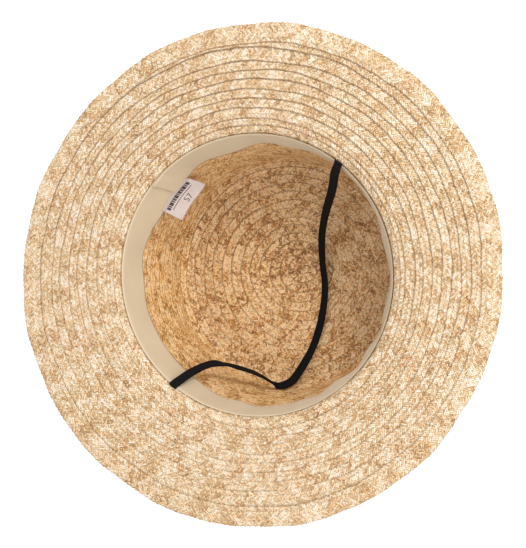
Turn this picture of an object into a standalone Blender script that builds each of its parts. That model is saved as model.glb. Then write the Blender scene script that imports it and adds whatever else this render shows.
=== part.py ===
"""A straw boater hat of sewn braid, upside down on the flat tip of its crown with its opening up.

Metres, +Z up. The origin is on the tip's outer face, under the middle of the crown.
+Y points to the back of the hat, and +X to the side where the chin elastic starts.
"""
import math

import bmesh
import bpy
from mathutils import Vector

MM = 0.001

# Crown, measured on the inner face of its straw
HEAD_RADIUS = 90.0 * MM
TIP_RADIUS = 78.0 * MM
CROWN_DEPTH = 91.0 * MM
TIP_CORNER = 11.0 * MM
MOUTH_BEND = 3.0 * MM

# Brim
BRIM_RADIUS = 157.1 * MM
BRIM_RISE = 5.0 * MM
BRIM_START = 3.3 * MM
MOUTH_LAP = 4.7 * MM

# Braid: one layer, two lapped layers, and the rows that show
LAYER = 1.0 * MM
STRAW_WALL = 2.0 * MM
ROW_PITCH = 6.2 * MM
ROW_STEP = 0.7 * MM
FIRST_ROW = 2.4 * MM
EDGE_ROW = 12.5 * MM

# How far the mouth is longer front to back, and the brim wider side to side, than a circle, at each side
MOUTH_OVAL = 0.4 * MM
BRIM_OVAL = 1.7 * MM

# Sweatband
BAND_TOP = 1.0 * MM
BAND_HEIGHT = 26.0 * MM
BAND_THICK = 1.0 * MM
RIPPLE_DEPTH = 5.0 * MM

# Size tag: its sewn strip lies on the band, and the rest hangs past the band's free edge
TAG_LENGTH = 28.0 * MM
TAG_WIDTH = 16.0 * MM
TAG_THICK = 1.0 * MM
TAG_SEAM = 3.0 * MM
TAG_MIDDLE = 85.5
TAG_TILTS = (18.0, 48.0)

# Chin elastic
ELASTIC_DIAMETER = 2.4 * MM
ELASTIC_SPACING = 6.0 * MM

GAP = 0.3 * MM
CROWN_STEPS = 32
BRIM_STEPS = 44
BAND_STEPS = 64
BAND_ROWS = 3
TAG_COLUMNS = 8
TAG_ROWS = 5
CORNER_FACETS = 3
BEND_FACETS = 3
CURVE_SAMPLES = 24
RIPPLE_EASE = 1.5

# Folds of the sweatband's free edge
# angle from +X in degrees, share of RIPPLE_DEPTH that the edge stands off the wall
RIPPLES = (
    (10, 0.02),
    (25, 0.30),
    (35, 0.00),
    (52, 0.62),
    (67, 0.15),
    (80, 0.75),
    (97, 0.95),
    (107, 0.45),
    (117, 0.05),
    (130, 0.38),
    (141, 0.22),
    (156, 0.34),
    (180, 0.40),
    (197, 0.05),
    (204, 0.30),
    (212, 0.00),
    (225, 0.18),
    (234, 0.34),
    (240, 0.15),
    (250, 0.66),
    (262, 0.24),
    (272, 0.70),
    (280, 0.36),
    (291, 0.86),
    (305, 0.60),
    (320, 1.00),
    (334, 0.50),
    (348, 0.25),
)

# Centreline of the chin elastic in millimetres, from its +X end to its -X end
ELASTIC_ROUTE = (
    (85.5, -2.5, 92.0),
    (83.6, -2.4, 84.0),
    (78.0, -2.4, 73.0),
    (68.0, -2.2, 55.0),
    (51.2, -2.4, 33.0),
    (35.1, -6.2, 17.0),
    (20.6, -14.6, 8.0),
    (8.3, -24.5, 4.6),
    (-5.2, -32.8, 4.4),
    (-19.5, -39.1, 4.4),
    (-33.1, -43.0, 5.0),
    (-46.5, -45.2, 8.5),
    (-57.6, -45.7, 13.0),
    (-64.4, -41.4, 17.0),
    (-64.8, -37.4, 20.0),
    (-64.8, -30.7, 23.5),
    (-65.5, -22.4, 29.0),
    (-67.4, -14.2, 36.0),
    (-68.8, -8.0, 44.0),
    (-71.0, -3.0, 52.0),
    (-74.6, -0.2, 61.0),
    (-79.2, 1.2, 73.0),
    (-83.2, 1.6, 84.0),
    (-85.5, 1.8, 92.0),
)

# Values worked out from the sizes above
MOUTH_HEIGHT = STRAW_WALL + CROWN_DEPTH
LEAN = math.atan2(HEAD_RADIUS - TIP_RADIUS, CROWN_DEPTH)
SLOPE = math.atan2(BRIM_RISE, BRIM_RADIUS - HEAD_RADIUS)
BRIM_INNER = HEAD_RADIUS + BRIM_START
LAP_RADIUS = BRIM_INNER + MOUTH_LAP
ELASTIC_RADIUS = ELASTIC_DIAMETER / 2
BAND_CLEARANCE = ROW_STEP + GAP + HEAD_RADIUS * (1 - math.cos(math.pi / CROWN_STEPS))


def empty_scene():
    """Removes what the scene holds."""
    for thing in list(bpy.data.objects):
        bpy.data.objects.remove(thing)


def new_collection(name):
    """A collection in the scene for the hat's pieces."""
    collection = bpy.data.collections.new(name)
    bpy.context.scene.collection.children.link(collection)
    return collection


def new_material(name, colour, roughness):
    """A plain Principled material."""
    material = bpy.data.materials.new(name)
    material.use_nodes = True
    shader = material.node_tree.nodes["Principled BSDF"]
    shader.inputs["Base Color"].default_value = (*colour, 1.0)
    shader.inputs["Roughness"].default_value = roughness
    shader.inputs["Metallic"].default_value = 0.0
    return material


def new_piece(name, mesh, collection, material, smooth_below=30.0):
    """An object for a finished mesh, with its material and smooth faces."""
    mesh.materials.clear()
    mesh.materials.append(material)
    mesh.shade_smooth()
    mesh.set_sharp_from_angle(angle=math.radians(smooth_below))
    piece = bpy.data.objects.new(name, mesh)
    collection.objects.link(piece)
    return piece


def turned_mesh(name, profile, steps):
    """The mesh that a Screw modifier turns from a profile of (radius, height) points."""
    line = bpy.data.meshes.new(name + "_profile")
    points = [(radius, 0.0, height) for radius, height in profile]
    edges = [(i, i + 1) for i in range(len(points) - 1)]
    line.from_pydata(points, edges, [])
    turner = bpy.data.objects.new(name + "_profile", line)
    bpy.context.scene.collection.objects.link(turner)
    screw = turner.modifiers.new("turn", "SCREW")
    screw.axis = "Z"
    screw.angle = math.tau
    screw.steps = steps
    screw.render_steps = steps
    screw.use_merge_vertices = True
    screw.merge_threshold = 0.00005
    depsgraph = bpy.context.evaluated_depsgraph_get()
    mesh = bpy.data.meshes.new_from_object(turner.evaluated_get(depsgraph))
    mesh.name = name
    bpy.data.objects.remove(turner)
    return mesh


def oval_share(radius):
    """How far a circle of this radius moves out on the X axis, and in on the Y axis, to become the hat's oval."""
    if radius <= HEAD_RADIUS:
        return -MOUTH_OVAL * radius / HEAD_RADIUS
    share = (radius - HEAD_RADIUS) / (BRIM_RADIUS - HEAD_RADIUS)
    return -MOUTH_OVAL + share * (BRIM_OVAL + MOUTH_OVAL)


def oval_radius(radius, angle):
    """Radius of the hat's oval at an angle in radians, for a circle of the given radius."""
    return radius + oval_share(radius) * math.cos(2 * angle)


def make_oval(mesh):
    """Moves a turned mesh's points from circles to the hat's ovals."""
    for vertex in mesh.vertices:
        radius = math.hypot(vertex.co.x, vertex.co.y)
        angle = math.atan2(vertex.co.y, vertex.co.x)
        new_radius = oval_radius(radius, angle)
        vertex.co.x = new_radius * math.cos(angle)
        vertex.co.y = new_radius * math.sin(angle)


def on_arc(centre, radius, start, turn):
    """Point and normal at an angle along an arc whose normal points to its centre for a positive radius."""
    angle = start + turn
    out = Vector((math.cos(angle), math.sin(angle)))
    return centre + abs(radius) * out, -out * math.copysign(1.0, radius)


class CrownLine:
    """The inner face of the crown in (radius, height), by length from the middle of the tip to the mouth's lap."""

    def __init__(self):
        wall_way = Vector((math.sin(LEAN), math.cos(LEAN)))
        wall_out = Vector((math.cos(LEAN), -math.sin(LEAN)))
        corner_height = STRAW_WALL + TIP_CORNER
        corner_radius = TIP_RADIUS + TIP_CORNER * math.tan(LEAN) - TIP_CORNER / math.cos(LEAN)
        self.corner = Vector((corner_radius, corner_height))
        self.wall_start = self.corner + TIP_CORNER * wall_out
        self.wall_way = wall_way
        mouth = Vector((HEAD_RADIUS, MOUTH_HEIGHT))
        self.bend_turn = math.pi / 2 - LEAN - SLOPE
        tangent = MOUTH_BEND * math.tan(self.bend_turn / 2)
        wall_end = mouth - tangent * wall_way
        self.bend = wall_end + MOUTH_BEND * wall_out
        self.lap_way = Vector((math.cos(SLOPE), math.sin(SLOPE)))
        self.lap_start = mouth + tangent * self.lap_way
        self.tip_end = corner_radius
        self.corner_end = self.tip_end + TIP_CORNER * (math.pi / 2 - LEAN)
        self.wall_end = self.corner_end + (wall_end - self.wall_start).length
        self.bend_end = self.wall_end + MOUTH_BEND * self.bend_turn
        self.rows_end = self.bend_end + (BRIM_INNER - self.lap_start.x) / math.cos(SLOPE)
        self.lap_end = self.bend_end + (LAP_RADIUS - self.lap_start.x) / math.cos(SLOPE)

    def at(self, length):
        """Point on the inner face, and the normal that points into the crown or up from the lap."""
        if length <= self.tip_end:
            return Vector((length, STRAW_WALL)), Vector((0.0, 1.0))
        if length <= self.corner_end:
            turn = (length - self.tip_end) / TIP_CORNER
            return on_arc(self.corner, TIP_CORNER, -math.pi / 2, turn)
        if length <= self.wall_end:
            point = self.wall_start + (length - self.corner_end) * self.wall_way
            return point, Vector((-math.cos(LEAN), math.sin(LEAN)))
        if length <= self.bend_end:
            turn = (length - self.wall_end) / MOUTH_BEND
            return on_arc(self.bend, -MOUTH_BEND, math.pi - LEAN, -turn)
        point = self.lap_start + (length - self.bend_end) * self.lap_way
        return point, Vector((-math.sin(SLOPE), math.cos(SLOPE)))


def stepped(edges, extra):
    """Stations along lapped rows: (length, rise), where each row starts one step high and runs down to the next."""
    stations = []
    for start, end in zip(edges, edges[1:]):
        between = [s for s in extra if start < s < end]
        for length in [start, *between, end]:
            rise = ROW_STEP * (end - length) / (end - start)
            stations.append((length, rise))
    return stations


def crown_profile():
    """Closed outline of the crown's straw: up its inner face, round the lap and down its outer face."""
    line = CrownLine()
    count = max(2, round(line.rows_end / ROW_PITCH))
    edges = [line.rows_end * i / count for i in range(count + 1)]
    bend_facet = (line.bend_end - line.wall_end) / BEND_FACETS
    bend_stops = [line.wall_end + bend_facet * i for i in range(BEND_FACETS + 1)]
    inner = []
    for length, rise in stepped(edges, bend_stops):
        point, normal = line.at(length)
        inner.append(point + rise * normal)
    lap_end, lap_normal = line.at(line.lap_end)
    lap_start, lap_normal = line.at(line.rows_end)
    lap = [lap_end, lap_end - LAYER * lap_normal, lap_start - LAYER * lap_normal]
    wall_edges = [s for s in edges if s > line.corner_end]
    outer = []
    for length, rise in reversed(stepped(wall_edges, bend_stops)):
        point, normal = line.at(length)
        outer.append(point + (rise - STRAW_WALL) * normal)
    corner_facet = (line.corner_end - line.tip_end) / CORNER_FACETS
    for i in reversed(range(CORNER_FACETS + 1)):
        point, normal = line.at(line.tip_end + corner_facet * i)
        outer.append(point - STRAW_WALL * normal)
    return inner + lap + outer + [Vector((0.0, 0.0))]


def brim_profile():
    """Closed outline of the brim's straw, from its inner edge out over the rows and back underneath."""
    line = CrownLine()
    lap_start, normal = line.at(line.rows_end)
    start = lap_start + (GAP + LAYER) * normal
    way = line.lap_way
    width = (BRIM_RADIUS - start.x) / math.cos(SLOPE)
    count = max(1, round((width - FIRST_ROW - EDGE_ROW) / ROW_PITCH))
    pitch = (width - FIRST_ROW - EDGE_ROW) / count
    edges = [0.0] + [FIRST_ROW + pitch * i for i in range(count + 1)] + [width]
    under_start = MOUTH_LAP / math.cos(SLOPE) + 2 * GAP
    top = [start + s * way + rise * normal for s, rise in stepped(edges, [])]
    under = []
    for s, rise in reversed(stepped(edges, [])):
        if s > under_start:
            under.append(start + s * way + (rise - STRAW_WALL) * normal)
    under.append(start + under_start * way - STRAW_WALL * normal)
    under.append(start + under_start * way - LAYER * normal)
    under.append(start - LAYER * normal)
    return top + under + [top[0]]


def ripple(angle):
    """Share of the full ripple at an angle in radians, eased from fold to fold."""
    degrees = math.degrees(angle) % 360.0
    folds = [(RIPPLES[-1][0] - 360.0, RIPPLES[-1][1]), *RIPPLES, (RIPPLES[0][0] + 360.0, RIPPLES[0][1])]
    for (before, low), (after, high) in zip(folds, folds[1:]):
        if before <= degrees <= after:
            ease = 0.5 - 0.5 * math.cos(math.pi * (degrees - before) / (after - before))
            return low + (high - low) * ease
    return 0.0


def band_radius(angle, depth):
    """Radius of the sweatband's outer face at an angle and a depth below the mouth."""
    wall = HEAD_RADIUS - (HEAD_RADIUS - TIP_RADIUS) * depth / CROWN_DEPTH
    hang = max(0.0, (depth - BAND_TOP) / BAND_HEIGHT)
    stand_off = BAND_CLEARANCE + RIPPLE_DEPTH * ripple(angle) * hang ** RIPPLE_EASE
    return oval_radius(wall - stand_off, angle)


def make_sweatband(collection, material):
    """The cloth band: a tube sewn at the mouth, whose lower edge stands off the wall in ripples."""
    depths = [BAND_TOP + BAND_HEIGHT * i / BAND_ROWS for i in range(BAND_ROWS + 1)]
    profile = [(HEAD_RADIUS, MOUTH_HEIGHT - depth) for depth in depths]
    mesh = turned_mesh("sweatband", profile, BAND_STEPS)
    for vertex in mesh.vertices:
        angle = math.atan2(vertex.co.y, vertex.co.x)
        radius = band_radius(angle, MOUTH_HEIGHT - vertex.co.z)
        vertex.co.x = radius * math.cos(angle)
        vertex.co.y = radius * math.sin(angle)
    band = new_piece("sweatband", mesh, collection, material, 60.0)
    thickness = band.modifiers.new("cloth", "SOLIDIFY")
    thickness.thickness = BAND_THICK
    thickness.offset = -1.0
    return band


def tag_place(along, across):
    """Place on the tag's face toward the band, by its shares of the tag's length and width."""
    half_angle = math.degrees(TAG_LENGTH / 2 / (HEAD_RADIUS - RIPPLE_DEPTH))
    angle = math.radians(TAG_MIDDLE + half_angle * (2 * along - 1))
    down = across * TAG_WIDTH
    edge_depth = BAND_TOP + BAND_HEIGHT
    sewn = min(down, TAG_SEAM)
    free = down - sewn
    depth = edge_depth - TAG_SEAM + sewn
    radius = band_radius(angle, depth) - BAND_THICK - 2 * GAP
    tilt = math.radians(TAG_TILTS[0] + (TAG_TILTS[1] - TAG_TILTS[0]) * along)
    radius -= free * math.sin(tilt)
    depth += free * math.cos(tilt)
    return Vector((radius * math.cos(angle), radius * math.sin(angle), MOUTH_HEIGHT - depth))


def make_tag(collection, material):
    """The size tag: a strip of tape sewn over the band's free edge, its lower end turned in from the wall."""
    mesh = bpy.data.meshes.new("size_tag")
    cage = bmesh.new()
    bmesh.ops.create_grid(cage, x_segments=TAG_COLUMNS, y_segments=TAG_ROWS, size=0.5)
    for vertex in cage.verts:
        vertex.co = tag_place(vertex.co.x + 0.5, vertex.co.y + 0.5)
    cage.normal_update()
    middle = Vector((0.0, 0.0, MOUTH_HEIGHT))
    for face in cage.faces:
        if face.normal.dot(middle - face.calc_center_median()) < 0:
            face.normal_flip()
    cage.to_mesh(mesh)
    cage.free()
    tag = new_piece("size_tag", mesh, collection, material, 60.0)
    thickness = tag.modifiers.new("tape", "SOLIDIFY")
    thickness.thickness = TAG_THICK
    thickness.offset = 1.0
    return tag


def smooth_points(route, spacing):
    """Points at even spacing on a smooth curve through the route's points."""
    ends = [2 * route[0] - route[1], *route, 2 * route[-1] - route[-2]]
    fine = [route[0]]
    for before, start, end, after in zip(ends, ends[1:], ends[2:], ends[3:]):
        for i in range(1, CURVE_SAMPLES + 1):
            t = i / CURVE_SAMPLES
            a = 2 * start
            b = (end - before) * t
            c = (2 * before - 5 * start + 4 * end - after) * t ** 2
            d = (3 * start - before - 3 * end + after) * t ** 3
            fine.append((a + b + c + d) / 2)
    lengths = [0.0]
    for start, end in zip(fine, fine[1:]):
        lengths.append(lengths[-1] + (end - start).length)
    count = round(lengths[-1] / spacing)
    points = []
    place = 0
    for i in range(count + 1):
        wanted = lengths[-1] * i / count
        while place < len(fine) - 2 and lengths[place + 1] < wanted:
            place += 1
        share = (wanted - lengths[place]) / (lengths[place + 1] - lengths[place])
        points.append(fine[place].lerp(fine[place + 1], share))
    return points


def make_elastic(collection, material):
    """The chin elastic: its loop hangs from both sides of the mouth and lies on the tip."""
    route = [MM * Vector(point) for point in ELASTIC_ROUTE]
    points = smooth_points(route, ELASTIC_SPACING)
    curve = bpy.data.curves.new("chin_elastic", "CURVE")
    curve.dimensions = "3D"
    curve.bevel_depth = ELASTIC_RADIUS
    curve.bevel_resolution = 2
    curve.use_fill_caps = True
    spline = curve.splines.new("POLY")
    spline.points.add(len(points) - 1)
    for slot, point in zip(spline.points, points):
        slot.co = (*point, 1.0)
    curve.materials.append(material)
    elastic = bpy.data.objects.new("chin_elastic", curve)
    collection.objects.link(elastic)
    return elastic


def make_crown(collection, material):
    """The crown: tip, corner, wall and mouth, turned from one outline."""
    mesh = turned_mesh("crown", crown_profile(), CROWN_STEPS)
    make_oval(mesh)
    return new_piece("crown", mesh, collection, material, 35.0)


def make_brim(collection, material):
    """The brim: a ring of lapped rows that sits on the mouth's lap."""
    mesh = turned_mesh("brim", brim_profile(), BRIM_STEPS)
    make_oval(mesh)
    return new_piece("brim", mesh, collection, material, 35.0)


def main():
    """Builds the hat."""
    empty_scene()
    collection = new_collection("straw_boater_hat")
    straw = new_material("straw", (0.74, 0.53, 0.28), 0.55)
    cloth = new_material("band_cloth", (0.72, 0.60, 0.43), 0.85)
    tape = new_material("tag_tape", (0.70, 0.60, 0.58), 0.8)
    elastic = new_material("black_elastic", (0.008, 0.008, 0.010), 0.7)
    make_crown(collection, straw)
    make_brim(collection, straw)
    make_sweatband(collection, cloth)
    make_tag(collection, tape)
    make_elastic(collection, elastic)


main()
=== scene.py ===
"""The looks of a straw boater hat that lies on its crown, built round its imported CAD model.

Metres in the frame of the CAD: +Z up, the crown's tip on z = 0, +Y the back of the hat,
and +X the side where the elastic starts.
"""

import math
from types import SimpleNamespace

import bpy
import numpy as np
from mathutils import Matrix, Vector


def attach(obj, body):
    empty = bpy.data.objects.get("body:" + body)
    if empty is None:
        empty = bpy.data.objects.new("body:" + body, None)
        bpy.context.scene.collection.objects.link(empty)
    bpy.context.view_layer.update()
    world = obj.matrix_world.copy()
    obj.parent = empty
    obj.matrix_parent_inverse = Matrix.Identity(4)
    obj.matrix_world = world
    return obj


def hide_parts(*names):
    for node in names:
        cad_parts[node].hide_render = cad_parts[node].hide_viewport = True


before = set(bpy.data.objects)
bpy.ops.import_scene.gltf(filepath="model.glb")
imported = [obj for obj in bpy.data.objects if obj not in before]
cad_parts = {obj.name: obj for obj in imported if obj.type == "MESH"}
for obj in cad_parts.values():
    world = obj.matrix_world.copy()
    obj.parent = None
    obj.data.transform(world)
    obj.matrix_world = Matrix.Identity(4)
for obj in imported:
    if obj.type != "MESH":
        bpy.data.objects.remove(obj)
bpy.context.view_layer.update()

MM = 0.001

# Sizes shared with the CAD solids; TAG_MIDDLE is an angle from +X in degrees
HEAD_RADIUS = 90.0 * MM
TIP_RADIUS = 78.0 * MM
CROWN_DEPTH = 91.0 * MM
TIP_CORNER = 11.0 * MM
MOUTH_BEND = 3.0 * MM
BRIM_RADIUS = 157.1 * MM
BRIM_RISE = 5.0 * MM
BRIM_START = 3.3 * MM
MOUTH_LAP = 4.7 * MM
STRAW_WALL = 2.0 * MM
ROW_PITCH = 6.2 * MM
LAYER = 1.0 * MM
GAP = 0.3 * MM
MOUTH_OVAL = 0.4 * MM
BRIM_OVAL = 1.7 * MM
BAND_TOP = 1.0 * MM
BAND_HEIGHT = 26.0 * MM
RIPPLE_DEPTH = 5.0 * MM
RIPPLE_EASE = 1.5
TAG_LENGTH = 28.0 * MM
TAG_WIDTH = 16.0 * MM
TAG_SEAM = 3.0 * MM
TAG_MIDDLE = 85.5

MOUTH_HEIGHT = STRAW_WALL + CROWN_DEPTH
LEAN = math.atan2(HEAD_RADIUS - TIP_RADIUS, CROWN_DEPTH)
SLOPE = math.atan2(BRIM_RISE, BRIM_RADIUS - HEAD_RADIUS)
BRIM_INNER = HEAD_RADIUS + BRIM_START

# The braid: seven strands that zigzag from edge to edge, sewn in a half-lapped spiral
BRAID_WIDTH = 12.4 * MM
BRAID_THICK = 0.68 * MM
STRANDS = 7
STRAND_PITCH = 3.2 * MM
SCALLOP = 0.5 * MM
SAMPLE = STRAND_PITCH / 4
TAPER_LENGTH = 16.0 * MM

# In the braid's own map, in millimetres: how long its start is darkened by painted shade and its
# painted edge shadow is wider, how far the stitches lie from its inner edge, and the length of one stitch
CENTRE_SHADE_LENGTH = 600.0
SEAM_SHADE_LENGTH = 1250.0
STITCH_PLACE = 3.1
STITCH_LENGTH = 4.6

# Tones of straw from dark to pale, each with its place on a ramp from 0 to 1
STRAW_TONES = (
    (0.0, (0.20, 0.095, 0.03)),
    (0.22, (0.36, 0.205, 0.08)),
    (0.42, (0.49, 0.32, 0.15)),
    (0.62, (0.58, 0.44, 0.27)),
    (0.82, (0.66, 0.555, 0.42)),
    (1.0, (0.73, 0.66, 0.57)),
)

# Where the middle of the tip's spiral lies, off the middle of the tip
TIP_MIDDLE = (7.7 * MM, -3.5 * MM)

# At the mouth the crown's rows are raised off its face, and the brim's first row is sunk onto them
MOUTH_LIFT = 0.5 * MM
BRIM_SINK = 1.3 * MM

# The brim's low waves, and the turns at which its braid starts and ends
BRIM_WAVE = 0.35 * MM
BRIM_RUN = (-0.25, 9.24)

# The sweatband, with angles in degrees: where its ends lap, from the tag's middle, how far they lap,
# and how far its free edge is skewed along it
CLOTH_THICK = 0.6 * MM
CLOTH_GAP = 0.5 * MM
LAP_START = -4.5
BAND_LAP = 5.0
BAND_SKEW = 1.5

# The tag leans off the band by these degrees at the start and at the end of its length, and one corner
# of its free edge reaches past the sewn edge by TAG_FLARE degrees of the mouth's round
TAG_TILTS = (44.0, 55.0)
TAG_FLARE = 4.0
TAPE_THICK = 0.35 * MM
TAG_LIFT = 0.5 * MM
PRINT_LIFT = 0.54 * MM

# The tag's print, in millimetres along and across the tag; the number's middle by shares of the tag
NUMBER_SIZE = 6.0
NUMBER_PLACE = (0.44, 0.71)
BARS_START = 2.6
BARS_ACROSS = (2.6, 5.5)
BAR_WIDTHS = (1.9, 0.9, 2.4, 1.2, 1.8, 0.8, 2.2, 1.4, 1.0, 2.3, 0.9, 1.7)
BAR_GAP = 0.42
THIN_LINE = (3.4, 24.2, 6.7, 7.2)

# The elastic and its ends: each is tucked outward and up over TUCK_LENGTH and once more over END_LENGTH,
# it loses most of its twist there, and the end at +X also moves aside
ELASTIC_WIDTH = 5.8 * MM
ELASTIC_THICK = 1.0 * MM
ELASTIC_STEP = 1.0 * MM
TUCK_LENGTH = 16.0 * MM
TUCK_OUT = 2.1 * MM
TUCK_UP = 1.0 * MM
TUCK_ASIDE = (0.0, -1.3 * MM, 0.0)
TUCK_UNTWIST = 0.8
END_LENGTH = 3.5 * MM
END_OUT = 1.5 * MM
END_UP = 0.6 * MM

# Inner edge of each turn of the brim's braid, by radius in millimetres at every eighth of a turn from +X.
# Apart from the even last turn, they were taken from what a measuring script printed for the rows' dark
# lines in the unwrapped photo
BRIM_TURNS = (
    (94.0, 94.3, 93.4, 93.9, 95.3, 96.9, 97.6, 97.1),
    (97.0, 98.9, 99.0, 98.6, 100.1, 101.7, 103.9, 103.8),
    (104.1, 105.4, 106.0, 104.7, 104.8, 106.5, 108.0, 108.5),
    (109.5, 111.4, 112.5, 112.3, 111.0, 112.1, 113.3, 114.7),
    (115.5, 116.9, 118.0, 118.2, 117.0, 118.2, 119.8, 120.8),
    (121.5, 123.0, 124.0, 124.3, 123.4, 123.8, 126.1, 126.6),
    (126.9, 128.4, 130.0, 130.6, 128.8, 129.4, 132.0, 132.2),
    (132.7, 133.6, 135.9, 136.3, 135.2, 135.2, 138.0, 138.4),
    (139.8, 142.6, 144.3, 144.4, 144.6, 144.9, 145.3, 145.0),
    (144.5, 144.5, 144.5, 144.5, 144.5, 144.5, 144.5, 144.5),
)

# Folds of the sweatband's free edge
# angle from +X in degrees, share of RIPPLE_DEPTH that the edge stands off the wall
RIPPLES = (
    (10, 0.02),
    (25, 0.30),
    (35, 0.00),
    (52, 0.62),
    (67, 0.15),
    (80, 0.75),
    (97, 0.95),
    (107, 0.45),
    (117, 0.05),
    (130, 0.38),
    (141, 0.22),
    (156, 0.34),
    (180, 0.40),
    (197, 0.05),
    (204, 0.30),
    (212, 0.00),
    (225, 0.18),
    (234, 0.34),
    (240, 0.15),
    (250, 0.66),
    (262, 0.24),
    (272, 0.70),
    (280, 0.36),
    (291, 0.86),
    (305, 0.60),
    (320, 1.00),
    (334, 0.50),
    (348, 0.25),
)

# Centreline of the chin elastic in millimetres, and how far its flat face is turned on edge, in degrees
ELASTIC_ROUTE = (
    (85.5, -2.5, 92.0, -22),
    (83.6, -2.4, 84.0, -24),
    (78.0, -2.4, 73.0, -22),
    (68.0, -2.2, 55.0, -18),
    (51.2, -2.4, 33.0, 8),
    (35.1, -6.2, 17.0, 18),
    (20.6, -14.6, 8.0, 30),
    (8.3, -24.5, 4.6, 27),
    (-5.2, -32.8, 4.4, 24),
    (-19.5, -39.1, 4.4, 18),
    (-33.1, -43.0, 5.0, 22),
    (-46.5, -45.2, 8.5, 8),
    (-57.6, -45.7, 13.0, 4),
    (-64.4, -41.4, 17.0, 40),
    (-64.8, -37.4, 20.0, 88),
    (-64.8, -30.7, 23.5, 86),
    (-65.5, -22.4, 29.0, 78),
    (-67.4, -14.2, 36.0, 75),
    (-68.8, -8.0, 44.0, 82),
    (-71.0, -3.0, 52.0, 44),
    (-74.6, -0.2, 61.0, 28),
    (-79.2, 1.2, 73.0, 6),
    (-83.2, 1.6, 84.0, 0),
    (-85.5, 1.8, 92.0, 0),
)


def add_camera():
    """The camera at the photograph's viewing angle."""
    data = bpy.data.cameras.new("camera")
    data.lens = 88.75
    camera = bpy.data.objects.new("camera", data)
    bpy.context.scene.collection.objects.link(camera)
    right = Vector((0.5622, -0.7759, -0.2863)).normalized()
    up = Vector((0.8084, 0.5886, -0.0079)).normalized()
    back = right.cross(up).normalized()
    up = back.cross(right)
    turn = Matrix((right, up, back)).transposed()
    camera.matrix_world = Matrix.Translation((0.1527, -0.1975, 0.9055)) @ turn.to_4x4()
    bpy.context.scene.camera = camera


def new_object(name, points, faces, material, uvs=None):
    """A smooth mesh object from arrays of points, four-cornered faces and places in the material's map."""
    mesh = bpy.data.meshes.new(name)
    points = np.asarray(points, dtype=np.float32)
    faces = np.asarray(faces, dtype=np.int32)
    mesh.vertices.add(len(points))
    mesh.vertices.foreach_set("co", points.ravel())
    mesh.loops.add(faces.size)
    mesh.loops.foreach_set("vertex_index", faces.ravel())
    mesh.polygons.add(len(faces))
    mesh.polygons.foreach_set("loop_start", np.arange(0, faces.size, faces.shape[1], dtype=np.int32))
    mesh.update(calc_edges=True)
    if uvs is not None:
        layer = mesh.uv_layers.new(name="surface")
        layer.data.foreach_set("uv", np.asarray(uvs, dtype=np.float32)[faces.ravel()].ravel())
    mesh.polygons.foreach_set("use_smooth", np.ones(len(faces), dtype=bool))
    mesh.materials.append(material)
    piece = bpy.data.objects.new(name, mesh)
    bpy.context.scene.collection.objects.link(piece)
    return piece


def strip_faces(rings, size, closed_ring=True):
    """Faces between neighbouring rings of points."""
    along = np.arange(rings - 1)[:, None]
    across = np.arange(size if closed_ring else size - 1)[None, :]
    after = along + 1
    beside = (across + 1) % size
    corners = (along * size + across, along * size + beside, after * size + beside, after * size + across)
    return np.stack(np.broadcast_arrays(*corners), -1).reshape(-1, 4)


def end_caps(rings, size):
    """Faces that close the first and last ring of a tube, each ring an even number of points."""
    faces = []
    for start, turned in ((0, False), ((rings - 1) * size, True)):
        for i in range(size // 2 - 1):
            face = [start + i, start + i + 1, start + size - 2 - i, start + size - 1 - i]
            faces.append(face[::-1] if not turned else face)
    return np.array(faces)


def smooth_route(route, spacing):
    """Evenly spaced rows on a smooth curve through the route's rows, each a point and a turn."""
    route = np.array(route, dtype=float)
    ends = np.vstack([2 * route[0] - route[1], route, 2 * route[-1] - route[-2]])
    t = np.linspace(0, 1, 24, endpoint=False)[:, None]
    fine = []
    for before, start, end, after in zip(ends, ends[1:], ends[2:], ends[3:]):
        a = 2 * start
        b = (end - before) * t
        c = (2 * before - 5 * start + 4 * end - after) * t ** 2
        d = (3 * start - before - 3 * end + after) * t ** 3
        fine.append((a + b + c + d) / 2)
    fine = np.vstack(fine + [route[-1:]])
    steps = np.linalg.norm(np.diff(fine[:, :3], axis=0), axis=1)
    length = np.concatenate([[0], np.cumsum(steps)])
    wanted = np.linspace(0, length[-1], round(length[-1] / spacing) + 1)
    return np.stack([np.interp(wanted, length, fine[:, i]) for i in range(route.shape[1])], -1)


def unit(vectors):
    """The vectors at length 1."""
    return vectors / np.linalg.norm(vectors, axis=-1, keepdims=True)


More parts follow.
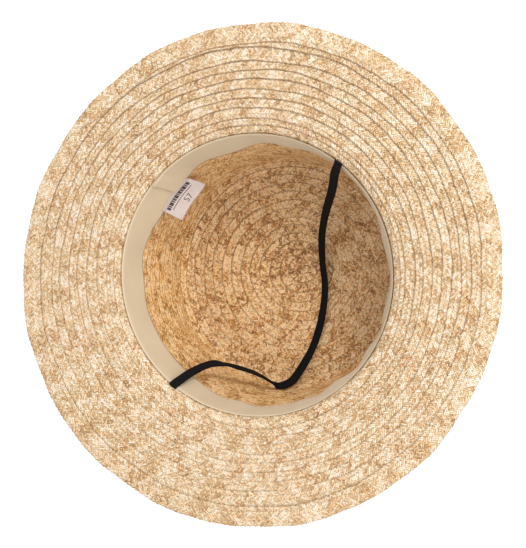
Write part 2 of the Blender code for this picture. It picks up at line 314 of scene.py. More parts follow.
def add_elastic(material):
    """The flat chin elastic, swept along its route, its ends tucked in over the band's top edge."""
    route = [(x * MM, y * MM, z * MM, turn) for x, y, z, turn in ELASTIC_ROUTE]
    route = smooth_route(route, ELASTIC_STEP)
    centre = route[:, :3]
    places = np.arange(len(centre))
    from_end = np.minimum(places, places[::-1])[:, None] * ELASTIC_STEP
    tuck = 1 - smooth_step(from_end, 0, TUCK_LENGTH)
    tip = 1 - smooth_step(from_end, 0, END_LENGTH)
    first_half = (places < len(centre) / 2)[:, None]
    outward = unit(centre * [1, 1, 0])
    upward = np.array([0, 0, 1])
    centre = centre + (TUCK_OUT * tuck + END_OUT * tip) * outward
    centre = centre + (TUCK_UP * tuck + END_UP * tip) * upward + tuck * first_half * TUCK_ASIDE
    tangent = unit(np.gradient(centre, axis=0))
    flat = unit(np.cross([0, 0, 1], tangent))
    face = np.cross(tangent, flat)
    turn = np.radians(route[:, 3:]) * (1 - TUCK_UNTWIST * tuck)
    across = np.cos(turn) * flat + np.sin(turn) * face
    normal = np.cos(turn) * face - np.sin(turn) * flat
    half = ELASTIC_WIDTH / 2
    thick = ELASTIC_THICK / 2
    section = []
    for sign in (1, -1):
        for share in (-1, -0.94, -0.72, -0.36, 0, 0.36, 0.72, 0.94, 1):
            height = thick * (1 - 0.55 * abs(share) ** 5) * (0.55 if abs(share) == 1 else 1)
            section.append((sign * share, sign * height))
    section = np.array(section)
    spread = section[None, :, :1] * half
    rings = centre[:, None] + spread * across[:, None] + section[None, :, 1:] * normal[:, None]
    size = len(section)
    length = places * ELASTIC_STEP / MM
    uvs = np.stack(np.broadcast_arrays(length[:, None], section[None, :, 0] * half / MM), -1)
    faces = np.vstack([strip_faces(len(centre), size), end_caps(len(centre), size)])
    elastic = new_object("elastic_ribbon", rings.reshape(-1, 3), faces, material, uvs.reshape(-1, 2))
    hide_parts("chin_elastic")
    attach(elastic, "root")
    return elastic


def crown_line():
    """Lengths along the crown's inner face from the tip's middle, with radius, height and normal there."""
    corner_radius = TIP_RADIUS + TIP_CORNER * math.tan(LEAN) - TIP_CORNER / math.cos(LEAN)
    bend_turn = math.pi / 2 - LEAN - SLOPE
    tangent = MOUTH_BEND * math.tan(bend_turn / 2)
    wall_foot = corner_radius + TIP_CORNER * math.cos(LEAN)
    wall_head = HEAD_RADIUS - tangent * math.sin(LEAN)
    corner_end = corner_radius + TIP_CORNER * (math.pi / 2 - LEAN)
    wall_end = corner_end + (wall_head - wall_foot) / math.sin(LEAN)
    bend_end = wall_end + MOUTH_BEND * bend_turn
    lap_end = bend_end + (BRIM_INNER + MOUTH_LAP - HEAD_RADIUS - tangent * math.cos(SLOPE)) / math.cos(SLOPE)
    stops = [0, corner_radius, corner_end, wall_end, bend_end, lap_end]
    upright = math.pi / 2 - LEAN
    step = 0.1 * MM
    length = np.arange(0, lap_end + step / 2, step)
    heading = np.interp(length, stops, [0, 0, upright, upright, SLOPE, SLOPE])
    middle = (heading[1:] + heading[:-1]) / 2
    radius = np.concatenate([[0], np.cumsum(np.cos(middle)) * step])
    height = STRAW_WALL + np.concatenate([[0], np.cumsum(np.sin(middle)) * step])
    lift = MOUTH_LIFT * smooth_step(length, wall_end - 6 * MM, wall_end + 2 * MM)
    radius = radius - lift * np.sin(heading)
    height = height + lift * np.cos(heading)
    return length, radius, height, -np.sin(heading), np.cos(heading)


def smooth_step(value, low, high):
    """0 below low, 1 above high, eased between."""
    share = np.clip((value - low) / (high - low), 0, 1)
    return share * share * (3 - 2 * share)


def brim_line():
    """The brim's own line in the same form, by length from the brim's inner edge."""
    length = np.arange(-2 * MM, 70 * MM, 0.5 * MM)
    sink = BRIM_SINK * (1 - smooth_step(length, 4 * MM, 12 * MM))
    base = MOUTH_HEIGHT + BRIM_START * math.tan(SLOPE) + (GAP + LAYER) / math.cos(SLOPE)
    radius = BRIM_INNER + length * math.cos(SLOPE)
    height = base + length * math.sin(SLOPE) - sink
    across = np.full_like(length, -math.sin(SLOPE))
    return length, radius, height, across, np.full_like(length, math.cos(SLOPE))


def oval(radius, angle):
    """Radius of the hat's oval at an angle, for a circle of the given radius."""
    inner = -MOUTH_OVAL * radius / HEAD_RADIUS
    share = (radius - HEAD_RADIUS) / (BRIM_RADIUS - HEAD_RADIUS)
    outer = -MOUTH_OVAL + share * (BRIM_OVAL + MOUTH_OVAL)
    return radius + np.where(radius <= HEAD_RADIUS, inner, outer) * np.cos(2 * angle)


def waver(turns, lengths, seed):
    """Small slow wanderings of a row's edge, different on each turn."""
    value = 0
    for k, (period, size) in enumerate(((47.0, 0.30), (83.0, 0.35), (19.0, 0.12))):
        value = value + size * np.sin(lengths / MM / period * math.tau + seed * 1.7 + k * 2.1 + 0.9 * turns)
    return value * MM


def add_braid(name, line, edge_of, turns_range, material, seed, nodes, tapers=()):
    """A run of braid sewn in a spiral, each turn half over the one inside it, with scalloped edges.

    line is a table of the surface that the braid is sewn along, and edge_of gives the length on it to
    the braid's inner edge by turn. Each taper is an end, 0 or 1, and the share of the width left there.
    """
    fine = np.linspace(*turns_range, int((turns_range[1] - turns_range[0]) * 720))
    middle = np.maximum(edge_of(fine), 0) + BRAID_WIDTH / 2
    reach = np.interp(middle, line[0], line[1])
    travel = np.concatenate([[0], np.cumsum(reach[1:] * np.diff(fine) * math.tau)])
    lengths = np.arange(0, travel[-1], SAMPLE)
    turns = np.interp(lengths, travel, fine)
    top = np.array([0.0, 0.08, 0.5, 0.93, 1.0])
    under = np.array([1.0, 0.93, 0.5, 0.08, 0.0])
    shares = np.concatenate([top, under])
    is_top = np.arange(len(shares)) < len(top)
    rounding = np.where((shares == 0) | (shares == 1), 0.14, 0.0)
    heights = BRAID_THICK * (1 - 2 * shares - np.where(is_top, rounding, 0.92 - rounding))
    heights = heights - np.where(~is_top & (shares == 0), 0.45 * BRAID_THICK, 0.0)
    scallop = SCALLOP * (np.abs(np.sin(math.pi * lengths / STRAND_PITCH)) - 0.6)
    widths = np.ones_like(lengths)
    for end, share in tapers:
        away = lengths if end == 0 else lengths[-1] - lengths
        widths = widths * (share + (1 - share) * smooth_step(away, 0, TAPER_LENGTH))
    edge = np.maximum(edge_of(turns), 0)
    edge = edge + waver(turns, lengths, seed) * np.clip(edge / (20 * MM), 0, 1)
    centre = edge[:, None] + BRAID_WIDTH * (0.5 + (shares[None, :] - 0.5) * widths[:, None])
    lean = np.where(shares == 0, -1.0, np.where(shares == 1, 1.0, 0.0))
    place = np.maximum(centre + lean[None, :] * scallop[:, None], 0.15 * MM)
    radius = np.interp(place, line[0], line[1])
    height = np.interp(place, line[0], line[2])
    out = np.interp(place, line[0], line[3])
    up = np.interp(place, line[0], line[4])
    past = np.maximum(place - line[0][-1], 0)
    radius = radius + past * math.cos(SLOPE) + heights[None, :] * out
    height = height + past * math.sin(SLOPE) + heights[None, :] * up
    angle = np.broadcast_to((turns * math.tau)[:, None], radius.shape)
    wave = BRIM_WAVE * np.sin(3 * angle + 0.7) * np.clip((radius - HEAD_RADIUS) / (60 * MM), 0, 1)
    radius = oval(radius, angle)
    aside = 1 - smooth_step(radius, 0, 0.95 * TIP_RADIUS)
    x = radius * np.cos(angle) + aside * TIP_MIDDLE[0]
    y = radius * np.sin(angle) + aside * TIP_MIDDLE[1]
    points = np.stack([x, y, height + wave], -1)
    size = len(shares)
    uvs = np.stack(np.broadcast_arrays(lengths[:, None] / MM, shares[None, :] * BRAID_WIDTH / MM), -1)
    faces = np.vstack([strip_faces(len(lengths), size), end_caps(len(lengths), size)])
    piece = new_object(name, points.reshape(-1, 3), faces, material, uvs.reshape(-1, 2))
    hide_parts(*nodes)
    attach(piece, "root")
    return piece


def crown_edge(turns):
    """The inner edge of the crown's braid by turn, from the closed middle of the tip to the mouth."""
    return np.minimum(ROW_PITCH * np.maximum(turns - 1, 0), crown_line()[0][-1] - BRAID_WIDTH)


def brim_edge(turns):
    """The inner edge of the brim's braid by turn, from the table of its turns."""
    table = np.array(BRIM_TURNS)
    table_turns = np.arange(table.size) / table.shape[1]
    radius = np.interp(turns, table_turns, table.ravel()) * MM
    return (radius - BRIM_INNER) / math.cos(SLOPE)


def ripple(angle):
    """Share of the sweatband's full ripple at angles in radians, eased from fold to fold."""
    degrees = np.degrees(angle) % 360.0
    first = RIPPLES[0]
    last = RIPPLES[-1]
    folds = np.array([(last[0] - 360.0, last[1]), *RIPPLES, (first[0] + 360.0, first[1])])
    i = np.clip(np.searchsorted(folds[:, 0], degrees, side="right") - 1, 0, len(folds) - 2)
    share = (degrees - folds[i, 0]) / (folds[i + 1, 0] - folds[i, 0])
    return folds[i, 1] + (folds[i + 1, 1] - folds[i, 1]) * (0.5 - 0.5 * np.cos(math.pi * share))


def band_radius(angle, depth):
    """Radius of the sweatband's outer face at an angle and a depth below the mouth."""
    wall = HEAD_RADIUS - (HEAD_RADIUS - TIP_RADIUS) * depth / CROWN_DEPTH
    hang = np.maximum(0.0, (depth - BAND_TOP) / BAND_HEIGHT)
    return oval(wall - CLOTH_GAP - RIPPLE_DEPTH * ripple(angle) * hang ** RIPPLE_EASE, angle)


def add_sweatband(material):
    """The cloth band, sewn at the mouth, whose ends lap at the back."""
    start = math.radians(TAG_MIDDLE + LAP_START)
    columns = 520
    rows = 15
    angle = start + np.linspace(0, math.tau + math.radians(BAND_LAP), columns)
    share = np.linspace(0, 1, rows)
    depth = BAND_TOP + BAND_HEIGHT * share
    aa, dd = np.meshgrid(angle, depth, indexing="ij")
    lean = -math.radians(BAND_SKEW) * share[None, :]
    first = 1 - smooth_step(aa - start, 0, math.radians(BAND_LAP + 2))
    last = smooth_step(aa - start - math.tau, -math.radians(2), math.radians(1))
    over = CLOTH_THICK * 1.05 * last
    outer = band_radius(aa + lean, dd) - 0.15 * MM * (1 - first) - over
    wrinkle = 0.10 * MM * np.sin(aa * 61 + 3 * np.sin(aa * 7)) * (share[None, :] ** 2)
    outer = outer - np.abs(wrinkle)
    edge = np.where((share[None, :] == 0) | (share[None, :] == 1), 0.25, 1.0) * CLOTH_THICK
    faces_out = np.stack([outer * np.cos(aa + lean), outer * np.sin(aa + lean), MOUTH_HEIGHT - dd], -1)
    inner = outer - edge
    faces_in = np.stack([inner * np.cos(aa + lean), inner * np.sin(aa + lean), MOUTH_HEIGHT - dd], -1)
    rings = np.concatenate([faces_out, faces_in[:, ::-1]], 1)
    size = 2 * rows
    along = angle * HEAD_RADIUS / MM
    down = np.concatenate([depth, depth[::-1]]) / MM
    uvs = np.stack(np.broadcast_arrays(along[:, None], down[None, :]), -1)
    faces = np.vstack([strip_faces(columns, size), end_caps(columns, size)])[:, ::-1]
    band = new_object("sweatband_cloth", rings.reshape(-1, 3), faces, material, uvs.reshape(-1, 2))
    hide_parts("sweatband")
    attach(band, "root")
    return band


def tag_surface(along, across, lift=0.0):
    """Points on the tag by shares of its length and width, lifted off its face toward the hat's middle."""
    along = np.asarray(along, dtype=float)
    across = np.asarray(across, dtype=float)
    half_angle = math.degrees(TAG_LENGTH / 2 / (HEAD_RADIUS - RIPPLE_DEPTH))
    angle = np.radians(TAG_MIDDLE + half_angle * (2 * along - 1) - TAG_FLARE * (1 - along) * across)
    down = across * TAG_WIDTH
    sewn = np.minimum(down, TAG_SEAM)
    free = down - sewn
    depth = BAND_TOP + BAND_HEIGHT - TAG_SEAM + sewn
    tilt = np.radians(TAG_TILTS[0] + (TAG_TILTS[1] - TAG_TILTS[0]) * along)
    bend = smooth_step(free, -0.5 * MM, 1 * MM)
    radius = band_radius(angle, depth) - CLOTH_THICK - GAP - free * np.sin(tilt * bend)
    depth = depth + free * np.cos(tilt * bend)
    radius = radius - lift
    return np.stack([radius * np.cos(angle), radius * np.sin(angle), MOUTH_HEIGHT - depth], -1)


def add_tag(material, ink):
    """The size tag: a strip of tape over the band's free edge, with a plain printed number and bars."""
    columns = 33
    rows = 25
    along, across = np.meshgrid(np.linspace(0, 1, columns), np.linspace(0, 1, rows), indexing="ij")
    front = tag_surface(along, across, TAG_LIFT)
    back = tag_surface(along, across, TAG_LIFT - TAPE_THICK)
    rings = np.concatenate([front, back[:, ::-1]], 1)
    size = 2 * rows
    x = along * TAG_LENGTH / MM
    y = across * TAG_WIDTH / MM
    uvs = np.stack([np.concatenate([x, x[:, ::-1]], 1), np.concatenate([y, y[:, ::-1]], 1)], -1)
    faces = np.vstack([strip_faces(columns, size), end_caps(columns, size)])[:, ::-1]
    tag = new_object("tag_tape_strip", rings.reshape(-1, 3), faces, material, uvs.reshape(-1, 2))
    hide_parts("size_tag")
    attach(tag, "root")
    prints = [add_number("tag_number", "57", ink), add_bars("tag_bars", ink)]
    return tag


def add_number(name, text, material):
    """The printed size, laid on the tag's face."""
    curve = bpy.data.curves.new(name, "FONT")
    curve.body = text
    curve.size = NUMBER_SIZE
    curve.align_x = "CENTER"
    curve.align_y = "CENTER"
    writing = bpy.data.objects.new(name + "_flat", curve)
    bpy.context.scene.collection.objects.link(writing)
    depsgraph = bpy.context.evaluated_depsgraph_get()
    mesh = bpy.data.meshes.new_from_object(writing.evaluated_get(depsgraph))
    bpy.data.objects.remove(writing)
    mesh.name = name
    flat = np.array([vertex.co[:2] for vertex in mesh.vertices])
    along = NUMBER_PLACE[0] - flat[:, 0] * MM / TAG_LENGTH
    across = NUMBER_PLACE[1] - flat[:, 1] * MM / TAG_WIDTH
    points = tag_surface(along, across, PRINT_LIFT)
    for vertex, point in zip(mesh.vertices, points):
        vertex.co = point
    mesh.materials.clear()
    mesh.materials.append(material)
    number = bpy.data.objects.new(name, mesh)
    bpy.context.scene.collection.objects.link(number)
    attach(number, "root")
    return number


def add_bars(name, material):
    """Plain printed bars above the number: a row of short thick ones, and a thin line under them."""
    bars = []
    place = BARS_START
    for width in BAR_WIDTHS:
        bars.append((place, place + width, *BARS_ACROSS))
        place += width + BAR_GAP
    bars.append(THIN_LINE)
    points = []
    faces = []
    for x0, x1, y0, y1 in bars:
        columns = max(2, round((x1 - x0) / 0.8) + 1)
        base = len(points)
        for x in np.linspace(x0, x1, columns):
            for y in np.linspace(y0, y1, 3):
                points.append(tag_surface(x * MM / TAG_LENGTH, y * MM / TAG_WIDTH, PRINT_LIFT))
        faces.extend(base + strip_faces(columns, 3, closed_ring=False))
    piece = new_object(name, points, faces, material)
    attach(piece, "root")
    return piece


class Shader:
    """A material's nodes, built one after the other."""

    def __init__(self, name):
        self.material = bpy.data.materials.new(name)
        self.material.use_nodes = True
        self.tree = self.material.node_tree
        self.surface = self.tree.nodes["Principled BSDF"]

    def node(self, kind, values=(), **settings):
        """A node with its settings and its inputs' values or links."""
        made = self.tree.nodes.new(kind)
        for name, value in settings.items():
            setattr(made, name, value)
        for name, value in dict(values).items():
            self.feed(made.inputs[name], value)
        return made

    def feed(self, socket, value):
        """Sets a socket to a value, or links it to an output."""
        if isinstance(value, bpy.types.NodeSocket):
            self.tree.links.new(value, socket)
        else:
            socket.default_value = value

    def math(self, operation, a, b=0.0, c=0.0, clamp=False):
        """The result of a Math node."""
        made = self.node("ShaderNodeMath", {0: a, 1: b, 2: c}, operation=operation, use_clamp=clamp)
        return made.outputs[0]

    def choose(self, share, low, high):
        """A number that goes from low to high with share."""
        made = self.node("ShaderNodeMix", {0: share, 2: low, 3: high}, data_type="FLOAT")
        return made.outputs[0]

    def blend(self, share, low, high, kind="MIX"):
        """A colour that goes from low to high with share."""
        made = self.node("ShaderNodeMix", {0: share, 6: low, 7: high}, data_type="RGBA", blend_type=kind)
        return made.outputs[2]

    def place(self, x, y, z=0.0):
        """A vector of three numbers."""
        return self.node("ShaderNodeCombineXYZ", {0: x, 1: y, 2: z}).outputs[0]

    def random(self, x, y, z=0.0):
        """A random number from 0 to 1 for three numbers."""
        made = self.node("ShaderNodeTexWhiteNoise", {"Vector": self.place(x, y, z)}, noise_dimensions="3D")
        return made.outputs["Value"]

    def noise(self, vector, scale, detail=2.0, roughness=0.5):
        """Smooth noise from 0 to 1."""
        values = {"Vector": vector, "Scale": scale, "Detail": detail, "Roughness": roughness}
        return self.node("ShaderNodeTexNoise", values, noise_dimensions="3D").outputs["Fac"]

    def ramp(self, share, stops):
        """A colour from a ramp of (position, colour) stops."""
        made = self.node("ShaderNodeValToRGB", {0: share})
        ends = made.color_ramp.elements
        while len(ends) < len(stops):
            ends.new(0.5)
        for end, (position, colour) in zip(ends, stops):
            end.position = position
            end.color = (*colour, 1.0)
        return made.outputs[0]

    def map(self):
        """The two numbers of the surface's own map, in millimetres."""
        source = self.node("ShaderNodeUVMap", uv_map="surface").outputs[0]
        parts = self.node("ShaderNodeSeparateXYZ", {0: source})
        return parts.outputs[0], parts.outputs[1]

    def bump(self, height, distance, strength=1.0, under=None):
        """A normal from a height, on top of another normal."""
        values = {"Height": height, "Distance": distance, "Strength": strength}
        if under is not None:
            values["Normal"] = under
        return self.node("ShaderNodeBump", values).outputs[0]


def plait_layout(s, u, v, seed):
    """Where points lie in the plait, from their place on the braid in millimetres, which wanders a little.

    A strand rises across the braid or falls, over two others and then under two.
    """
    pitch = STRAND_PITCH / MM
    shear = pitch * STRANDS / 2 / (BRAID_WIDTH / MM)
    sway = s.noise(s.place(u, v, seed), 0.16, 2.0)
    lift = s.noise(s.place(u, v, seed + 7.0), 0.16, 2.0)
    u = s.math("MULTIPLY_ADD", s.math("SUBTRACT", sway, 0.5), 2.4, u)
    v = s.math("MULTIPLY_ADD", s.math("SUBTRACT", lift, 0.5), 1.3, v)
    slide = s.math("MULTIPLY", v, shear)
    rising = s.math("DIVIDE", s.math("SUBTRACT", u, slide), pitch)
    falling = s.math("DIVIDE", s.math("ADD", u, slide), pitch)
    rising_strand = s.math("FLOOR", rising)
    falling_strand = s.math("FLOOR", falling)
    zone = s.math("FLOORED_MODULO", s.math("SUBTRACT", falling_strand, rising_strand), 4.0)
    falls = s.math("GREATER_THAN", zone, 1.5)
    strand = s.choose(falls, rising_strand, falling_strand)
    across = s.choose(falls, s.math("FRACT", rising), s.math("FRACT", falling))
    past_rising = s.math("SUBTRACT", falling, rising_strand)
    past_falling = s.math("SUBTRACT", s.math("SUBTRACT", falling_strand, rising), 1.0)
    along = s.choose(falls, past_rising, past_falling)
    along = s.math("DIVIDE", s.math("FLOORED_MODULO", along, 4.0), 2.0)
    layer = s.math("MULTIPLY", strand, 7.3)
    grain = s.place(s.math("MULTIPLY", across, 3.4), s.math("MULTIPLY", along, 2.2), layer)
    fibre = s.noise(grain, 1.0, 2.0, 0.7)
    fleck = s.noise(s.place(u, v, seed + 11.0), 0.85, 2.0, 0.7)
    return SimpleNamespace(u=u, v=v, strand=strand, falls=falls, across=across, along=along,
                           fibre=fibre, fleck=fleck)


def straw_tone(s, plait, seed, contrast, centre_shade):
    """The tone from 0 to 1, built up from pale blocks, patches, strands, single straws and fine noise."""
    number = s.math("FLOORED_MODULO", plait.strand, float(STRANDS))
    shift = s.math("MULTIPLY", number, 0.37)
    splice = s.math("FLOOR", s.math("ADD", s.math("DIVIDE", plait.u, 210.0), shift))
    own = s.random(number, splice, seed)
    each = s.random(plait.strand, plait.falls, seed + 3.0)
    spread = s.place(s.math("MULTIPLY", plait.u, 0.085), s.math("MULTIPLY", plait.v, 0.26), seed + 5.0)
    patch = s.noise(spread, 1.0, 1.0)
    repeat = s.math("DIVIDE", plait.u, STRAND_PITCH / MM)
    block = s.math("MULTIPLY_ADD", s.math("SUBTRACT", each, 0.5), 1.2, repeat)
    pale = s.math("LESS_THAN", s.math("FLOORED_MODULO", block, float(STRANDS)), 3.4)
    straw = s.math("FLOOR", s.math("MULTIPLY", plait.across, 2.0))
    single = s.random(plait.strand, straw, s.math("MULTIPLY_ADD", plait.falls, 3.0, seed))
    slow = s.place(s.math("MULTIPLY", plait.u, 0.02), s.math("MULTIPLY", plait.v, 0.05), seed)
    drift = s.noise(slow, 1.0, 2.0)
    # Painted shade: the tone is darker toward the braid's start, the middle of the tip at the bottom of the
    # crown
    centre_shade_ramp = s.math("SUBTRACT", s.math("DIVIDE", plait.u, CENTRE_SHADE_LENGTH, clamp=True), 1.0)
    tone = s.math("MULTIPLY_ADD", centre_shade_ramp, centre_shade, -0.67)
    weights = ((pale, 0.13), (patch, 0.16), (own, 0.06), (each, 0.14), (single, 0.34), (drift, 0.20),
               (plait.fibre, 0.6), (plait.fleck, 0.85))
    for part, weight in weights:
        tone = s.math("MULTIPLY_ADD", part, weight, tone)
    return s.math("MULTIPLY_ADD", s.math("SUBTRACT", tone, 0.5), contrast, 0.5, clamp=True)


def straw_height(s, plait):
    """Height of the straws from 0 to 1: two rounded straws in a strand, which dip at both ends."""
    split = s.math("FRACT", s.math("MULTIPLY", plait.across, 2.0))
    dome = s.math("MULTIPLY", s.math("SUBTRACT", split, 0.5), 2.0)
    dome = s.math("SUBTRACT", 1.0, s.math("POWER", s.math("ABSOLUTE", dome), 2.4))
    float_end = s.math("MULTIPLY", s.math("SUBTRACT", plait.along, 0.5), 2.0)
    float_end = s.math("SUBTRACT", 1.0, s.math("POWER", s.math("ABSOLUTE", float_end), 5.0))
    return s.math("POWER", s.math("MULTIPLY", dome, float_end, clamp=True), 0.5)


def straw_specks(s, plait, seed, colour, height, tint, centre_shade):
    """The colour with painted shade in the crevices between straws, painted glints, pits and small turns of
    hue.
    """
    red, green, blue = tint
    speck = s.noise(s.place(plait.u, plait.v, seed + 19.0), 0.95, 0.0)
    # Painted shade: darker brown where the straws dip into the crevices between them, broken up by fine noise
    crevice_shade = s.math("SUBTRACT", 1.0, s.math("POWER", height, 0.7))
    bare = s.math("MULTIPLY_ADD", s.math("SUBTRACT", 1.0, plait.fleck), 1.2, 0.15, clamp=True)
    colour = s.blend(s.math("MULTIPLY", crevice_shade, bare), colour, (0.16 * red, 0.085 * green, 0.03 * blue, 1.0))
    # Painted glints: small pale spots that stand in for light caught on the straws and shining through gaps
    # in the weave
    painted_glint = s.math("MULTIPLY", s.math("SUBTRACT", speck, 0.62 - 0.25 * centre_shade), 9.0, clamp=True)
    colour = s.blend(s.math("MULTIPLY", painted_glint, 0.8), colour, (0.76, 0.64 * green, 0.48 * blue, 1.0))
    pit = s.math("MULTIPLY", s.math("SUBTRACT", 0.36, speck), 9.0, clamp=True)
    colour = s.blend(s.math("MULTIPLY", pit, 0.6), colour, (0.20 * red, 0.10 * green, 0.035 * blue, 1.0))
    hue = s.noise(s.place(plait.u, plait.v, seed + 31.0), 0.8, 1.0)
    hue = s.ramp(hue, ((0.36, (1.07, 0.95, 0.82)), (0.5, (1.0, 1.0, 1.0)), (0.64, (0.94, 1.03, 1.10))))
    return s.blend(1.0, colour, hue, "MULTIPLY")


def straw_edges(s, plait, u, v, seed, colour, centre_shade, seam_shade):
    """The colour with painted shadow along the inner edge, where each row steps down under the next, stronger
    toward +X where the light casts it, and painted shadow in the notches of the outer edge.
    """
    spot = s.node("ShaderNodeSeparateXYZ", {0: s.node("ShaderNodeTexCoord").outputs["Object"]}).outputs
    # Painted shadow: how strongly the rows' stepped inner edges are darkened, more toward +X, where the light
    # casts their shadows, and wider on the braid's first turns
    side = s.math("MULTIPLY_ADD", spot[1], 2.4, 0.45 + 3 * centre_shade)
    side = s.math("MULTIPLY_ADD", spot[0], 3.4, side, clamp=True)
    first = s.math("MULTIPLY", s.math("LESS_THAN", u, SEAM_SHADE_LENGTH), side)
    reach = s.math("MULTIPLY_ADD", first, seam_shade, s.math("MULTIPLY_ADD", side, 0.75, 0.42))
    shade_breaks = s.noise(s.place(plait.u, 0.0, seed + 23.0), 0.07, 2.0)
    shade_breaks = s.math("MULTIPLY_ADD", shade_breaks, 5.0, -2.1, clamp=True)
    edge = s.math("SUBTRACT", 1.0, s.math("DIVIDE", v, reach), clamp=True)
    edge = s.math("MULTIPLY", edge, s.math("MULTIPLY_ADD", side, 0.6, s.math("MULTIPLY_ADD", shade_breaks, 0.3, 0.1)))
    # Painted shadow: dark brown along the inner edge, where each row steps down under the next, in broken
    # patches
    colour = s.blend(edge, colour, (0.17, 0.075, 0.02, 1.0))
    # Painted shadow: dark notches at the outer edge, in the gaps between its scallops
    turn_back = s.math("ABSOLUTE", s.math("SINE", s.math("MULTIPLY", u, math.pi / (STRAND_PITCH / MM))))
    from_rim = s.math("DIVIDE", s.math("SUBTRACT", BRAID_WIDTH / MM, v), 1.4)
    notch_shadow = s.math("MULTIPLY", s.math("SUBTRACT", 0.5, turn_back), 3.0, clamp=True)
    notch_shadow = s.math("MULTIPLY", notch_shadow, s.math("SUBTRACT", 1.0, from_rim, clamp=True))
    return s.blend(s.math("MULTIPLY", notch_shadow, 0.9), colour, (0.07, 0.04, 0.018, 1.0))


def straw_material(name, seed, tint, contrast, centre_shade=0.0, seam_shade=0.0):
    """Plaited straw: strands that zigzag across the braid, two over and two under, each of its own tone.

    core darkens the start of the braid, the middle of the tip, as painted shade, and there adds painted
    glints and stronger painted edge shadow; seam widens the painted edge shadow of its first turns.
    """
    s = Shader(name)
    u, v = s.map()
    plait = plait_layout(s, u, v, seed)
    tone = straw_tone(s, plait, seed, contrast, centre_shade)
    height = straw_height(s, plait)
    colour = s.ramp(tone, [(end, tuple(c * t for c, t in zip(shade, tint))) for end, shade in STRAW_TONES])
    colour = straw_specks(s, plait, seed, colour, height, tint, centre_shade)
    colour = straw_edges(s, plait, u, v, seed, colour, centre_shade, seam_shade)
    stitch_line = s.math("LESS_THAN", s.math("ABSOLUTE", s.math("SUBTRACT", v, STITCH_PLACE)), 0.2)
    stitch_run = s.math("LESS_THAN", s.math("FRACT", s.math("DIVIDE", plait.u, STITCH_LENGTH)), 0.7)
    stitch = s.math("MULTIPLY", stitch_line, stitch_run)
    colour = s.blend(s.math("MULTIPLY", stitch, 0.4), colour, (0.30, 0.17, 0.07, 1.0))
    s.feed(s.surface.inputs["Base Color"], colour)
    s.feed(s.surface.inputs["Roughness"], s.math("MULTIPLY_ADD", plait.fibre, 0.35, 0.22))
    s.surface.inputs["Specular IOR Level"].default_value = 0.5
    relief = s.math("SUBTRACT", height, s.math("MULTIPLY", stitch_line, 0.35))
    under = s.bump(relief, 0.30 * MM)
    fine = s.math("MULTIPLY_ADD", plait.fleck, 0.7, plait.fibre)
    s.feed(s.surface.inputs["Normal"], s.bump(fine, 0.30 * MM, 0.9, under))
    return s.material


def cloth_material():
    """The sweatband's smooth closely woven cloth, a little uneven in tone."""
    s = Shader("band_cotton")
    u, v = s.map()
    warp = s.math("SINE", s.math("MULTIPLY", u, math.tau / 0.36))
    weft = s.math("SINE", s.math("MULTIPLY", v, math.tau / 0.36))
    weave = s.math("MULTIPLY", warp, weft)
    cloud = s.noise(s.place(u, v), 0.05, 3.0)
    slub = s.noise(s.place(s.math("MULTIPLY", u, 0.35), s.math("MULTIPLY", v, 4.0)), 0.9, 2.0)
    thread = s.math("MULTIPLY_ADD", slub, 0.3, s.math("MULTIPLY", weave, 0.05))
    tone = s.math("MULTIPLY_ADD", cloud, 0.6, thread)
    colour = s.ramp(tone, ((0.15, (0.475, 0.373, 0.247)), (0.75, (0.533, 0.431, 0.296))))
    s.feed(s.surface.inputs["Base Color"], colour)
    s.surface.inputs["Roughness"].default_value = 0.8
    s.surface.inputs["Sheen Weight"].default_value = 0.12
    relief = s.math("MULTIPLY_ADD", slub, 0.5, weave)
    s.feed(s.surface.inputs["Normal"], s.bump(relief, 0.03 * MM))
    return s.material


def tape_material():
    """The tag's pale woven tape."""
    s = Shader("tag_satin")
    u, v = s.map()
    weave = s.math("SINE", s.math("MULTIPLY", s.math("ADD", u, v), math.tau / 0.4))
    cloud = s.noise(s.place(u, v), 0.16, 2.0)
    edge = s.math("LESS_THAN", s.math("ABSOLUTE", s.math("SUBTRACT", v, TAG_SEAM / MM)), 0.14)
    colour = s.ramp(cloud, ((0.3, (0.43, 0.345, 0.32)), (0.7, (0.48, 0.395, 0.365))))
    colour = s.blend(s.math("MULTIPLY", edge, 0.35), colour, (0.45, 0.35, 0.33, 1.0))
    s.feed(s.surface.inputs["Base Color"], colour)
    s.surface.inputs["Roughness"].default_value = 0.55
    s.surface.inputs["Sheen Weight"].default_value = 0.1
    s.feed(s.surface.inputs["Normal"], s.bump(weave, 0.02 * MM))
    return s.material


def elastic_material():
    """Black braided elastic with fine ribs along it."""
    s = Shader("elastic_black")
    u, v = s.map()
    ribs = s.math("SINE", s.math("MULTIPLY", v, math.tau / 0.62))
    lean = s.math("MULTIPLY_ADD", s.math("ABSOLUTE", ribs), 0.5, u)
    yarn = s.math("SINE", s.math("MULTIPLY", lean, math.tau / 0.8))
    relief = s.math("MULTIPLY_ADD", yarn, 0.35, ribs)
    lint = s.noise(s.place(u, v), 1.2, 2.0)
    colour = s.ramp(lint, ((0.3, (0.002, 0.002, 0.003)), (0.8, (0.006, 0.006, 0.007))))
    s.feed(s.surface.inputs["Base Color"], colour)
    s.surface.inputs["Roughness"].default_value = 0.75
    s.surface.inputs["Specular IOR Level"].default_value = 0.12
    s.feed(s.surface.inputs["Normal"], s.bump(relief, 0.08 * MM))
    return s.material


def ink_material():
    """The tag's black print."""
    s = Shader("tag_ink")
    u = s.node("ShaderNodeTexCoord").outputs["Object"]
    wear = s.noise(u, 900.0, 2.0)
    colour = s.ramp(wear, ((0.35, (0.012, 0.011, 0.012)), (0.8, (0.05, 0.04, 0.045))))
    s.feed(s.surface.inputs["Base Color"], colour)
    s.surface.inputs["Roughness"].default_value = 0.7
    return s.material


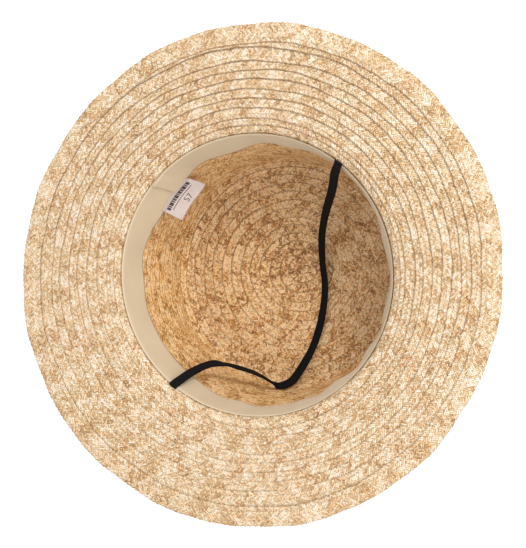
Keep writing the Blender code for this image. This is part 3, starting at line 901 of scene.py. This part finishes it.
def floor_material():
    """A plain pale floor, very slightly uneven."""
    s = Shader("pale_floor")
    spot = s.node("ShaderNodeTexCoord").outputs["Object"]
    cloud = s.noise(spot, 3.0, 2.0)
    colour = s.ramp(cloud, ((0.3, (0.93, 0.93, 0.93)), (0.7, (0.95, 0.95, 0.95))))
    s.feed(s.surface.inputs["Base Color"], colour)
    s.surface.inputs["Roughness"].default_value = 0.9
    s.surface.inputs["Specular IOR Level"].default_value = 0.1
    return s.material


def add_floor():
    """The floor that the crown's tip lies on."""
    half = 3.0
    points = [(-half, -half, 0), (half, -half, 0), (half, half, 0), (-half, half, 0)]
    floor = new_object("floor", points, [(0, 1, 2, 3)], floor_material())


def add_light(name, toward, distance, size, power, colour):
    """A round area light at a distance in a direction from the hat, aimed at the hat."""
    data = bpy.data.lights.new(name, "AREA")
    data.shape = "DISK"
    data.size = size
    data.energy = power
    data.color = colour
    light = bpy.data.objects.new(name, data)
    bpy.context.scene.collection.objects.link(light)
    way = Vector(toward).normalized()
    target = Vector((0, 0, 0.06))
    light.location = target + distance * way
    light.rotation_euler = way.to_track_quat("Z", "Y").to_euler()


def add_studio():
    """Soft light from all round, with a broad key from the front and a smaller light from the +X side."""
    world = bpy.data.worlds.new("studio")
    world.use_nodes = True
    background = world.node_tree.nodes["Background"]
    background.inputs["Color"].default_value = (1.0, 1.0, 1.0, 1.0)
    background.inputs["Strength"].default_value = 1.27
    bpy.context.scene.world = world
    warm_white = (1.0, 0.98, 0.95)
    add_light("key", (0.148, -0.705, 0.70), 1.2, 1.2, 6.0, warm_white)
    add_light("second", (0.70, -0.02, 0.70), 1.4, 0.4, 9.8, warm_white)
    bpy.context.scene.view_settings.view_transform = "Standard"
    bpy.context.scene.view_settings.look = "None"


def main():
    """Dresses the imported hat."""
    add_camera()
    add_elastic(elastic_material())
    cream = (0.95, 0.915, 0.875)
    # Painted light: the crown's inner pieces get deeper, warmer tints than the brim's cream, standing in for
    # the golden light that bounces between the straws and shines through them inside the crown
    tip = straw_material("straw_tip", 11.0, (1.12, 0.87, 0.59), 2.4, 0.12)
    wall = straw_material("straw_wall", 23.0, (1.31, 1.04, 0.70), 2.2)
    mouth = straw_material("straw_mouth", 29.0, cream, 1.35)
    flat = straw_material("straw_brim", 37.0, cream, 1.35, seam_shade=0.7)
    crown = crown_line()
    wall_turn = 13.3
    last_turn = (crown[0][-1] - BRAID_WIDTH) / ROW_PITCH + 2
    mouth_turn = last_turn - 2.5
    add_braid("tip_braid", crown, crown_edge, (0.0, wall_turn), tip, 1.0, ["crown"])
    add_braid("wall_braid", crown, crown_edge, (wall_turn, mouth_turn), wall, 2.0, ["crown"])
    add_braid("mouth_braid", crown, crown_edge, (mouth_turn, last_turn), mouth, 2.0, ["crown"])
    brim_ends = ((0, 0.2), (1, 0.25))
    add_braid("brim_braid", brim_line(), brim_edge, BRIM_RUN, flat, 3.0, ["brim"], brim_ends)
    add_sweatband(cloth_material())
    add_tag(tape_material(), ink_material())
    add_floor()
    add_studio()


main()
